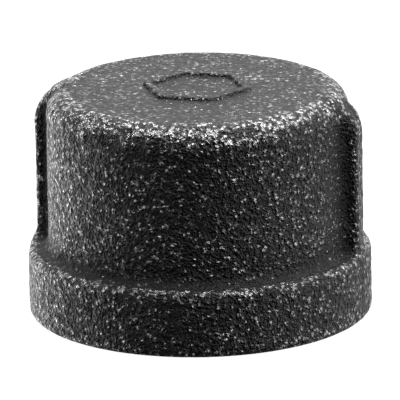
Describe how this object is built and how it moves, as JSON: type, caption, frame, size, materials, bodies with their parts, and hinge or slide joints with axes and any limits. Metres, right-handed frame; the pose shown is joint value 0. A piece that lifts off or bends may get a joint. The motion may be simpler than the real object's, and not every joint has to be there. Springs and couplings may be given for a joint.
{
  "type": "pipe cap",
  "caption": "Malleable iron pipe cap with a banded mouth, side wrench ribs and an internal taper thread; screws over a threaded pipe end to close it.",
  "frame": {"origin": "centre of the mouth face, which the cap stands on", "axes": "+Z along the thread's axis from the mouth to the crown; X through the two wrench ribs; Y across them"},
  "size_m": [0.037, 0.037, 0.025],
  "materials": {
    "black_iron": "sand-cast malleable iron with a semi-gloss black finish; machined taper thread"
  },
  "bodies": {
    "root": {"cap_casting": "black_iron"}
  },
  "joints": []
}
